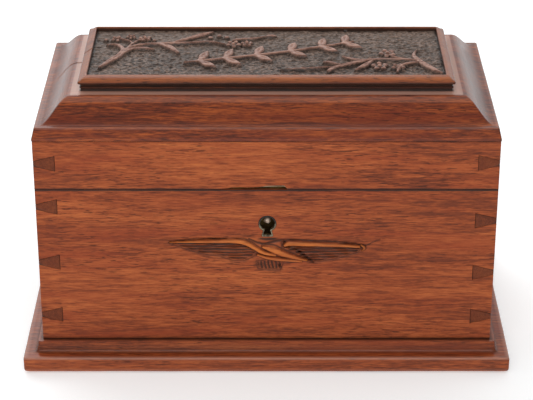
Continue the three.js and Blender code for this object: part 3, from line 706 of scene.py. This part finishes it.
def base_profile():
    """Rows of inset, height, dirt and painted shade, and wear and painted highlight up the base board's
    mouldings.
    """
    out = HALF[0] - BASE_HIGH[0]
    top = BASE_HIGH[2]
    rows = [(out + 2.6, 0, 0.3, 0)]
    for t in np.linspace(0.2, 1.5, 6):
        rows.append((out + 2.4 * (1 - math.sin(t)), 2.4 * (1 - math.cos(t)), 0.1, 0.1))
    rows += [(out, z, 0, 0) for z in (3.2, 5, 7, 8.4)]
    # The arris rounding onto the ledge is lightened with wax bloom and a painted highlight.
    rows += [(out + 0.12, 9.2, 0, 0.35), (out + 0.45, 9.62, 0, 0.6), (out + 1.0, 9.78, 0, 0.4)]
    rows += [(-8, 9.8, 0, 0), (-6.2, 9.85, 0, 0), (-5.1, 9.95, 0.2, 0)]
    # The cove darkens towards its foot, and the top under the body is dark, with dirt and painted shade.
    for t in np.linspace(0.1, 1, 9) * math.pi / 2:
        rows.append((-2.9 - 2.0 * (1 - math.sin(t)), top - (top - 9.95) * math.cos(t), 0.45 * math.cos(t), 0))
    rows += [(-2.5, top, 0, 0.2), (-1.2, top, 0.4, 0), (0.2, top, 1, 0), (1.5, top, 1, 0)]
    return rows


def base_shape(x, y, z, half):
    """Hand work: a slow wander in the mouldings, and a short split at the left end."""
    inset = HALF[0] - half[0]
    wander = 0.16 * value_noise(x + 3 * z, y - 2 * z, (40, 40), 31) + 0.06 * value_noise(x, y + z, (7, 7), 32)
    held = 1 if -10.9 <= inset < 0 else 0
    off_line = np.abs(y + 14 - 1.5 * value_noise(x, y * 0, (6, 1), 33))
    split = (1 - smoothstep(off_line, 0.1, 0.6)) * (x < -131) * (z > 5)
    x, y = x - np.sign(x) * np.abs(wander) * held, y - np.sign(y) * np.abs(wander) * held
    return x, y, np.maximum(z - 0.6 * split, 0)


def plain_top(x, y, level):
    """Height, dirt and wear of a flat top."""
    return np.full(x.shape, float(level)), np.full(x.shape, 0.6), np.zeros(x.shape)


def make_base_board(material):
    board = moulded_board(
        "moulded_base_board", base_profile(), BASE_STEP, material, plain_top, base_shape, BASE_CORNER
    )
    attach(board, "body")
    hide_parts("base_board")


# ---- The carved bird on the front ------------------------------------------------------

BIRD = {"left": -58.0, "right": 66.0, "bottom": 60.5, "top": 82.85}
BIRD_DEPTH = 1.4  # of the block that carries it
LEFT_WING = [
    (-55, 79.4), (-44, 81.4), (-32, 82.5), (-20, 82.5), (-10, 80.2), (-5, 74.5),
    (-8, 70.5), (-13, 68.2), (-19, 68.2), (-26, 71), (-37, 72.6), (-46, 75.6),
]
RIGHT_WING = [
    (9, 80.6), (17, 80.9), (30, 80.3), (50, 79.0), (54, 76.8), (52, 73.6),
    (43, 70.4), (34, 68.2), (25, 66.9), (20, 69.5), (16, 73), (9, 76),
]
TAIL = [(-5.5, 67.5), (-4.6, 63.2), (0, 62.2), (7.6, 62.4), (9.2, 66.5), (3, 68.5)]
BODY_STROKES = [
    [(-2, 77, 0.9), (3.5, 75.2, 2.3), (8.5, 72.8, 2.2), (15.5, 70.3, 1.5), (23, 68.2, 0.6)],
    [(-5, 71.8, 0.7), (2.5, 69.4, 1.2), (12, 68.4, 1.1), (20, 67.6, 0.6)],
    [(53.6, 78.2, 0.5), (55.6, 76.4, 0.9), (54.4, 74.6, 0.4)],
]
WING_RIDGES = [
    [
        (-55, 79.8, 0.35), (-42, 80.2, 0.9), (-30, 80.4, 1.3), (-19, 80.6, 1.7),
        (-12, 79.4, 1.9), (-7, 76.4, 1.6), (-2, 73.3, 1.3), (5, 71.6, 0.8),
    ],
    [(10.5, 78.0, 1.2), (13.5, 79.0, 2.0), (24, 78.6, 1.8), (38, 78.0, 1.6), (52.8, 77.1, 0.9)],
]
HOLLOWS = [  # cut below the face: the neck's shadow, and the gash beside the body
    [(-10, 82, 0.5), (-5.5, 79.6, 1.0), (-1, 78.8, 1.0), (6, 80.6, 1.2), (10, 81.0, 0.4)],
    [(12, 76.2, 0.6), (17, 74.6, 1.0), (21, 71.2, 1.3), (26.5, 66.8, 0.8)],
    [(6.5, 65.8, 0.4), (8.2, 63.4, 1.0)],
]


def polygon_depth(x, y, points):
    """Distance in millimetres inside a closed outline, negative outside."""
    closed = np.array(points + points[:1], dtype=float)
    away = np.full(x.shape, 1e9)
    inside = np.zeros(x.shape, dtype=bool)
    for a, b in zip(closed, closed[1:]):
        away = np.minimum(away, from_segment(x, y, a, b)[1])
        with np.errstate(divide="ignore", invalid="ignore"):
            crossing = ((a[1] > y) != (b[1] > y)) & (x < (b[0] - a[0]) * (y - a[1]) / (b[1] - a[1]) + a[0])
        inside ^= crossing
    return np.where(inside, away, -away)


def bird_relief(x, z):
    """Height off the board's face, dirt with painted shade in its hollows and furrows, and wear with a
    painted highlight on its ridges, in millimetres.
    """
    height = np.zeros(x.shape)
    dirt_and_shade = np.zeros(x.shape)
    wings = np.maximum(polygon_depth(x, z, LEFT_WING), polygon_depth(x, z, RIGHT_WING))
    tail = polygon_depth(x, z, TAIL)
    feathers = smoothstep(wings, -0.2, 0.7)
    slope = np.where(x < 2, 0.16 * (x + 20), -0.2 * (x - 20))
    wave = z + 0.13 * slope + 0.35 * value_noise(x, z, (9, 2), 41)
    ribs = np.sin(wave * 2 * math.pi / 1.75)
    # The feathers' furrows darken with dirt and painted shade.
    height -= feathers * (0.72 - 0.34 * ribs)
    dirt_and_shade = np.maximum(dirt_and_shade, feathers * (0.34 + 0.6 * smoothstep(-ribs, -0.35, 0.6)))
    fan = smoothstep(tail, -0.2, 0.6)
    quills = np.sin(x * 2 * math.pi / 2.1 + 0.4 * z + value_noise(x, z, (3, 3), 45))
    height -= fan * (0.55 - 0.3 * quills)
    dirt_and_shade = np.maximum(dirt_and_shade, fan * (0.3 + 0.65 * smoothstep(-quills, -0.3, 0.7)))
    rim = np.maximum(wings, tail)
    groove = np.exp(-((rim + 0.35) / 0.42) ** 2)
    height -= 0.4 * groove
    dirt_and_shade = np.maximum(dirt_and_shade, 0.75 * groove)
    smudge = smoothstep(rim, -2.6, -0.2) * (0.5 + 0.5 * value_noise(x, z, (3, 1.2), 46))
    dirt_and_shade = np.maximum(dirt_and_shade, 0.55 * smudge)
    spur = crown(stroke_depth(x, z, [(55, 76.5, 0.5), (59, 79, 0.45), (64.5, 81.8, 0.15)]))
    height -= 0.35 * spur
    dirt_and_shade = np.maximum(dirt_and_shade, 0.6 * spur)
    # The hollows darken with dirt and painted shade.
    for points in HOLLOWS:
        sunk = crown(stroke_depth(x, z, points), 0.9)
        height -= 0.6 * sunk
        dirt_and_shade = np.maximum(dirt_and_shade, 0.9 * sunk)
    below_key = smoothstep(1 - np.hypot((x - 1) / 7.5, (z - 82.6) / 2.4), 0.0, 0.5)
    dirt_and_shade = np.maximum(dirt_and_shade, 0.95 * below_key)
    raised = np.zeros(x.shape)
    # Each raised stroke gets a dark foot, with dirt and painted shade.
    for points in BODY_STROKES + WING_RIDGES:
        depth = stroke_depth(x, z, points)
        raised = np.maximum(raised, crown(depth, 0.85))
        foot = np.exp(-((depth + 0.22) / 0.24) ** 2)
        dirt_and_shade = np.maximum(dirt_and_shade, 0.9 * foot)
        height -= 0.3 * foot
    height = height * (1 - raised) + raised * (1.05 + 0.2 * value_noise(x, z, (4, 1.6), 42))
    dirt_and_shade = dirt_and_shade * (1 - 0.95 * smoothstep(raised, 0.25, 0.7))
    nicks = smoothstep(value_noise(x, z, (4, 0.9), 43), 0.35, 0.6)
    dirt_and_shade = np.maximum(dirt_and_shade, 0.45 * raised * nicks)
    # The ridges' wear is lightened further as a painted highlight.
    wear_and_sheen = smoothstep(raised, 0.5, 0.95) * (0.7 + 0.3 * value_noise(x, z, (5, 2), 44))
    margin = np.minimum.reduce([x - BIRD["left"], BIRD["right"] - x, z - BIRD["bottom"], BIRD["top"] - z])
    held = smoothstep(margin, 0.0, 0.5)
    return height * held, dirt_and_shade * smoothstep(margin, -0.01, 0.3), wear_and_sheen * held


def make_bird(material):
    """The carved patch: a closed block let into the front board, its face flush at the margin."""
    xs = np.arange(BIRD["left"], BIRD["right"] + BIRD_STEP / 2, BIRD_STEP)
    zs = np.arange(BIRD["bottom"], BIRD["top"] + BIRD_STEP / 2, BIRD_STEP)
    stretch = (BIRD["top"] - BIRD["bottom"]) / (zs[-1] - zs[0])  # so that the rows end on the top
    zs = zs * stretch + BIRD["bottom"] - zs[0] * stretch
    x, z = np.meshgrid(xs, zs, indexing="ij")
    height, dirt_and_shade, wear_and_sheen = bird_relief(x, z)
    nx, nz = x.shape
    face = np.column_stack([x.ravel(), (FRONT_Y - height).ravel(), z.ravel()])
    grid = np.arange(nx * nz).reshape(nx, nz)
    border = np.concatenate([grid[:-1, 0], grid[-1, :-1], grid[:0:-1, -1], grid[0, :0:-1]])
    back = face[border].copy()
    back[:, 1] = FRONT_Y + BIRD_DEPTH
    start = len(face)
    around = np.arange(len(border))
    after = (around + 1) % len(border)
    walls = np.column_stack([border[around], start + around, start + after, border[after]])
    faces = grid_quads(grid).tolist() + walls.tolist() + [(start + around).tolist()]
    clean = np.zeros(len(border))
    fields = {"dirt_and_shade": np.concatenate([dirt_and_shade.ravel(), clean]), "wear_and_sheen": np.concatenate([wear_and_sheen.ravel(), clean])}
    bird = make_object("carved_bird", np.vstack([face, back]), faces, material, 50.0, fields)
    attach(bird, "body")


# ---- Boards made from their CAD shape --------------------------------------------------


def copy_of(node, name, material):
    """A new piece with the shape of a CAD node, which it stands for."""
    mesh = frame["nodes"][node].data.copy()
    mesh.name = name
    piece = bpy.data.objects.new(name, mesh)
    bpy.context.collection.objects.link(piece)
    mesh.materials.clear()
    mesh.materials.append(material)
    return piece


def apply_modifiers(piece):
    graph = bpy.context.evaluated_depsgraph_get()
    mesh = bpy.data.meshes.new_from_object(piece.evaluated_get(graph))
    piece.modifiers.clear()
    piece.data = mesh


def cut(piece, cutter):
    """Takes a closed cutter away from a piece."""
    modifier = piece.modifiers.new("cut", "BOOLEAN")
    modifier.operation = "DIFFERENCE"
    modifier.solver = "EXACT"
    modifier.object = cutter
    bpy.context.view_layer.update()
    apply_modifiers(piece)
    bpy.data.objects.remove(cutter)


def weld(piece):
    """Joins the vertices that lie in one place."""
    mesh = bmesh.new()
    mesh.from_mesh(piece.data)
    bmesh.ops.remove_doubles(mesh, verts=mesh.verts, dist=WELD)
    mesh.to_mesh(piece.data)
    mesh.free()


def worn_edges(piece, width_mm):
    bevel = piece.modifiers.new("worn_edges", "BEVEL")
    bevel.width = width_mm * MM
    bevel.segments = 2
    bevel.limit_method = "ANGLE"
    bevel.angle_limit = SHARP
    return bevel


def weigh_edges(piece, low, high):
    """Marks a piece's sharp edges for wear, apart from those inside a box in millimetres."""
    mesh = bmesh.new()
    mesh.from_mesh(piece.data)
    weight = mesh.edges.layers.float.new("bevel_weight_edge")
    low, high = np.array(low) * MM - 1e-5, np.array(high) * MM + 1e-5
    for edge in mesh.edges:
        inside = all((np.array(v.co) > low).all() and (np.array(v.co) < high).all() for v in edge.verts)
        sharp = edge.is_manifold and edge.calc_face_angle(0) > SHARP
        edge[weight] = 1.0 if sharp and not inside else 0.0
    mesh.to_mesh(piece.data)
    mesh.free()


def shade_group():
    """Geometry nodes that shade a mesh smooth, apart from its sharp edges."""
    group = bpy.data.node_groups.new("smooth_by_angle", "GeometryNodeTree")
    group.interface.new_socket("Geometry", in_out="INPUT", socket_type="NodeSocketGeometry")
    group.interface.new_socket("Geometry", in_out="OUTPUT", socket_type="NodeSocketGeometry")
    nodes, links = group.nodes, group.links
    start, end = nodes.new("NodeGroupInput"), nodes.new("NodeGroupOutput")
    faces, edges = nodes.new("GeometryNodeSetShadeSmooth"), nodes.new("GeometryNodeSetShadeSmooth")
    faces.domain, edges.domain = "FACE", "EDGE"
    angle = nodes.new("GeometryNodeInputMeshEdgeAngle")
    shallow = nodes.new("FunctionNodeCompare")
    shallow.data_type, shallow.operation = "FLOAT", "LESS_THAN"
    shallow.inputs[1].default_value = SHALLOW
    links.new(angle.outputs["Unsigned Angle"], shallow.inputs[0])
    links.new(start.outputs[0], faces.inputs["Geometry"])
    links.new(faces.outputs[0], edges.inputs["Geometry"])
    links.new(shallow.outputs[0], edges.inputs["Shade Smooth"])
    links.new(edges.outputs[0], end.inputs[0])
    return group


def soften(node, width_mm, group):
    """Welds a CAD node's mesh, breaks its edges and shades its round faces smooth."""
    piece = frame["nodes"][node]
    piece.modifiers.new("weld", "WELD").merge_threshold = WELD
    worn_edges(piece, width_mm)
    piece.modifiers.new("shade", "NODES").node_group = group


def block(name, low, high):
    """A closed box between two corners in millimetres."""
    (x0, y0, z0), (x1, y1, z1) = low, high
    verts = [(x, y, z) for x in (x0, x1) for y in (y0, y1) for z in (z0, z1)]
    faces = [(0, 1, 3, 2), (4, 6, 7, 5), (0, 4, 5, 1), (2, 3, 7, 6), (0, 2, 6, 4), (1, 5, 7, 3)]
    return link_mesh(name, verts, faces)


CHIP_ENDS = (-30.0, 12.0)  # where the splintered hollow starts and stops along the front


def chip_cutter():
    """A shallow splintered hollow along the lid's lower front edge, where the two halves part."""
    x0, x1 = CHIP_ENDS
    low = LID_FRONT_LOW[2] - 1
    xs = np.linspace(x0, x1, 40)
    t = (xs - x0) / (x1 - x0)
    ends = smoothstep(t, 0, 0.3) * (1 - smoothstep(t, 0.95, 1))
    gap = ends * (0.8 + 0.7 * t + 0.2 * value_noise(xs, xs * 0, (3.5, 1), 53))
    lift = ends * (0.25 + 0.9 * smoothstep(t, 0.45, 0.8) + 0.2 * value_noise(xs, xs * 0, (2.5, 1), 51))
    foot = low + 1 + gap
    slant = 0.8 + 0.2 * value_noise(xs, xs * 0, (4, 1), 52)
    section = [  # a splintered slope on the face, over a dark gap
        (-1 + 0 * xs, low + 0 * xs), (-1 + 0 * xs, foot + 2 * lift), (slant, foot + 0.05 * lift),
        (slant + 3, foot), (slant + 3, low + 0 * xs),
    ]
    rows = [np.column_stack([xs, FRONT_Y + y, z]) for y, z in section]
    verts = np.concatenate(rows)
    n = len(xs)  # points along each edge of the cutter
    faces = []
    sides = len(section)
    for r in range(sides):
        a, b = r * n, ((r + 1) % sides) * n
        faces += [(a + i, b + i, b + i + 1, a + i + 1) for i in range(n - 1)]
    faces += [tuple(range(0, sides * n, n))[::-1], tuple(range(n - 1, sides * n, n))]
    cutter = link_mesh("chip", verts, faces)
    mesh = cutter.data
    mesh.materials.append(None)
    mesh.materials.append(None)  # the faces that it leaves take the board's second material
    mesh.polygons.foreach_set("material_index", np.ones(len(faces), dtype=np.int32))
    solid = bmesh.new()
    solid.from_mesh(mesh)
    bmesh.ops.recalc_face_normals(solid, faces=solid.faces)
    solid.to_mesh(mesh)
    solid.free()
    return cutter


def make_front_board(material):
    board = copy_of("front_board", "front_board_panel", material)
    weld(board)
    low = (BIRD["left"], FRONT_Y - 1, BIRD["bottom"])
    high = (BIRD["right"], FRONT_Y + BIRD_DEPTH, BIRD["top"])
    cut(board, block("bird_bed", low, high))
    weigh_edges(board, low, high)
    worn_edges(board, 0.28).limit_method = "WEIGHT"
    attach(board, "body")
    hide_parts("front_board")


def bare_wood():
    """Dry, unpolished wood where a splinter has come away, painted dark as shade where it lies deep in the
    gap.
    """
    s = Shader("splintered_wood")
    fibre = s.noise(s.place((60, 1500, 1500)), detail=3, rough=0.7)
    colour = s.ramp(fibre, (0.35, (0.06, 0.035, 0.02)), (0.52, (0.25, 0.19, 0.12)), (0.7, (0.38, 0.31, 0.2)))
    # Painted shade: more than about a millimetre behind the face the wood turns near-black.
    shallow = s.near(1, FRONT_Y, 1.1)
    colour = s.mix(s.ramp(shallow, (0.1, 0.0), (0.35, 1.0)), DIRT_AND_SHADE, colour)
    return s.finish(colour, 0.8, s.bump(fibre, 0.3, 0.8), Specular_IOR_Level=0.1)


def make_lid_front_board(material):
    board = copy_of("lid_front_board", "lid_front_panel", material)
    board.data.materials.append(bare_wood())
    weld(board)
    cut(board, chip_cutter())
    worn_edges(board, 0.3)
    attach(board, "lid")
    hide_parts("lid_front_board")


# ---- Materials of the small pieces -----------------------------------------------------


def aged_brass():
    s = Shader("aged_brass")
    tarnish = s.noise(s.place((260, 260, 260)), detail=4, rough=0.65)
    fine = s.noise(s.place((1400, 1400, 1400)), detail=2)
    black, brown, gold = (0.055, 0.034, 0.016), (0.19, 0.115, 0.042), (0.42, 0.28, 0.1)
    colour = s.ramp(tarnish, (0.35, black), (0.55, brown), (0.75, gold))
    rough = s.maths("ADD", 0.3, s.maths("MULTIPLY", tarnish, 0.35))
    return s.finish(colour, rough, s.bump(fine, 0.04, 0.4), Metallic=1.0)


def dusty_brass():
    """The keyhole's ring: thin brass, dull with polish and dirt."""
    s = Shader("dusty_brass")
    film = s.noise(s.place((700, 700, 700)), detail=3, rough=0.6)
    colour = s.ramp(film, (0.4, (0.06, 0.045, 0.028)), (0.6, (0.27, 0.22, 0.14)))
    low_half = s.near(2, KEY_LOW[2], KEY_DROP)
    colour = s.mix(s.ramp(low_half, (0.25, 0.0), (0.6, 1.0)), (0.02, 0.013, 0.009), colour)
    rough = s.maths("ADD", 0.45, s.maths("MULTIPLY", film, 0.3))
    return s.finish(colour, rough, s.bump(film, 0.05, 0.4), Metallic=0.35)


def dull_steel():
    s = Shader("dull_steel")
    rust = s.noise(s.place((500, 500, 500)), detail=4, rough=0.6)
    colour = s.ramp(rust, (0.4, (0.12, 0.10, 0.085)), (0.7, (0.3, 0.27, 0.24)))
    rough = s.maths("ADD", 0.3, s.maths("MULTIPLY", rust, 0.3))
    return s.finish(colour, rough, s.bump(rust, 0.03, 0.4), Metallic=1.0)


def key_pin_steel():
    """The lock's pin, browned but rubbed bright by the key."""
    s = Shader("key_pin_steel")
    film = s.noise(s.place((600, 600, 600)), detail=3)
    colour = s.ramp(film, (0.35, (0.3, 0.19, 0.13)), (0.65, (0.66, 0.5, 0.39)))
    return s.finish(colour, 0.38, s.bump(film, 0.03, 0.3), Metallic=0.2)


def grey_foil():
    s = Shader("tea_lead_foil")
    crease = s.noise(s.place((130, 130, 130)), detail=5, rough=0.6, warp=0.3)
    colour = s.ramp(crease, (0.35, (0.12, 0.12, 0.115)), (0.65, (0.33, 0.335, 0.33)))
    rough = s.maths("ADD", 0.35, s.maths("MULTIPLY", crease, 0.3))
    return s.finish(colour, rough, s.bump(crease, 0.5, 0.6), Metallic=0.85)


def lining_paper():
    s = Shader("lining_paper")
    weave = s.noise(s.place((1800, 1800, 1800)), detail=3)
    blot = s.noise(s.place((28, 28, 28)), detail=3)
    colour = s.mix(blot, (0.10, 0.014, 0.016), (0.19, 0.035, 0.034))
    return s.finish(colour, 0.85, s.bump(weave, 0.1, 0.5), Specular_IOR_Level=0.3)


def polished_dark_wood():
    s = Shader("polished_dark_wood")
    grain = s.noise(s.place((900, 900, 90)), detail=3, rough=0.6)
    colour = s.ramp(grain, (0.35, (0.018, 0.008, 0.005)), (0.65, (0.085, 0.03, 0.015)))
    return s.finish(colour, 0.28, s.bump(grain, 0.05, 0.3), Coat_Weight=0.4, Coat_Roughness=0.15)


def dress(nodes, material):
    """Gives CAD nodes a material in place of their own."""
    for name in nodes:
        data = frame["nodes"][name].data
        data.materials.clear()
        data.materials.append(material)


EDGE_MM = {  # how far each material's edges are worn back
    "mahogany": 0.3, "carved_mahogany": 0.3, "inner_wood": 0.3, "turned_wood": 0.1,
    "brass": 0.1, "steel": 0.06, "tea_lead": 0.1, "paper_lining": 0.1,
}

# ---- Assembly --------------------------------------------------------------------------


def main():
    make_camera()
    make_stage()

    rim = FRONT_HIGH[2]
    joint = (2, rim, 0.9, 3.0)  # dirt in the joint between lid and body
    seams = [joint, (2, rim, 1.6, 0.8), (2, BASE_HIGH[2], 2.2, 1.1)]
    front_wood = mahogany("mahogany_front", *RED_WOOD, seams=seams, shift=12.4, bloom_and_sheen=POLISH_AND_HIGHLIGHT)
    lid_wood = mahogany("mahogany_lid_front", *RED_WOOD, seams=seams[:2], shift=1.7)
    side_wood = mahogany("mahogany_sides", *RED_WOOD, along_y=True, seams=seams, shift=2.9)
    # The lip's top is lightened for polish and as a painted highlight.
    lid_polished_lit_rim = (LID_HIGH[2] - 0.7, 2.2)
    lid_board_wood = mahogany(
        "mahogany_lid_board", *DEEP_WOOD, shift=4.1, wax=0.75, bloom_and_sheen=WAX_BLOOM_AND_SHEEN, polished_lit_rim=lid_polished_lit_rim
    )
    base_wood = mahogany("mahogany_base", *RED_WOOD, shift=5.3, wax=0.8, bloom_and_sheen=WAX_BLOOM_AND_SHEEN)
    inner_wood = mahogany("mahogany_inner", *INNER_WOOD, shift=6.7, wax=0.2)

    make_lid_board(lid_board_wood, carved_ground())
    make_base_board(base_wood)
    make_bird(front_wood)
    make_front_board(front_wood)
    make_lid_front_board(lid_wood)

    dress(["back_board"], front_wood)
    dress(["lid_back_board"], lid_wood)
    dress(["left_board", "right_board", "lid_left_board", "lid_right_board"], side_wood)
    slots = {row["node"]: row["material_slot"] for row in frame["record"]["subparts"]}
    finishes = {
        "inner_wood": inner_wood, "turned_wood": polished_dark_wood(), "brass": aged_brass(),
        "steel": dull_steel(), "tea_lead": grey_foil(), "paper_lining": lining_paper(),
    }
    for slot, material in finishes.items():
        dress([node for node, its_slot in slots.items() if its_slot == slot], material)
    dress(["keyhole_escutcheon"], dusty_brass())
    dress(["lock_key_pin"], key_pin_steel())
    group = shade_group()
    for node, slot in slots.items():
        soften(node, EDGE_MM[slot], group)


main()
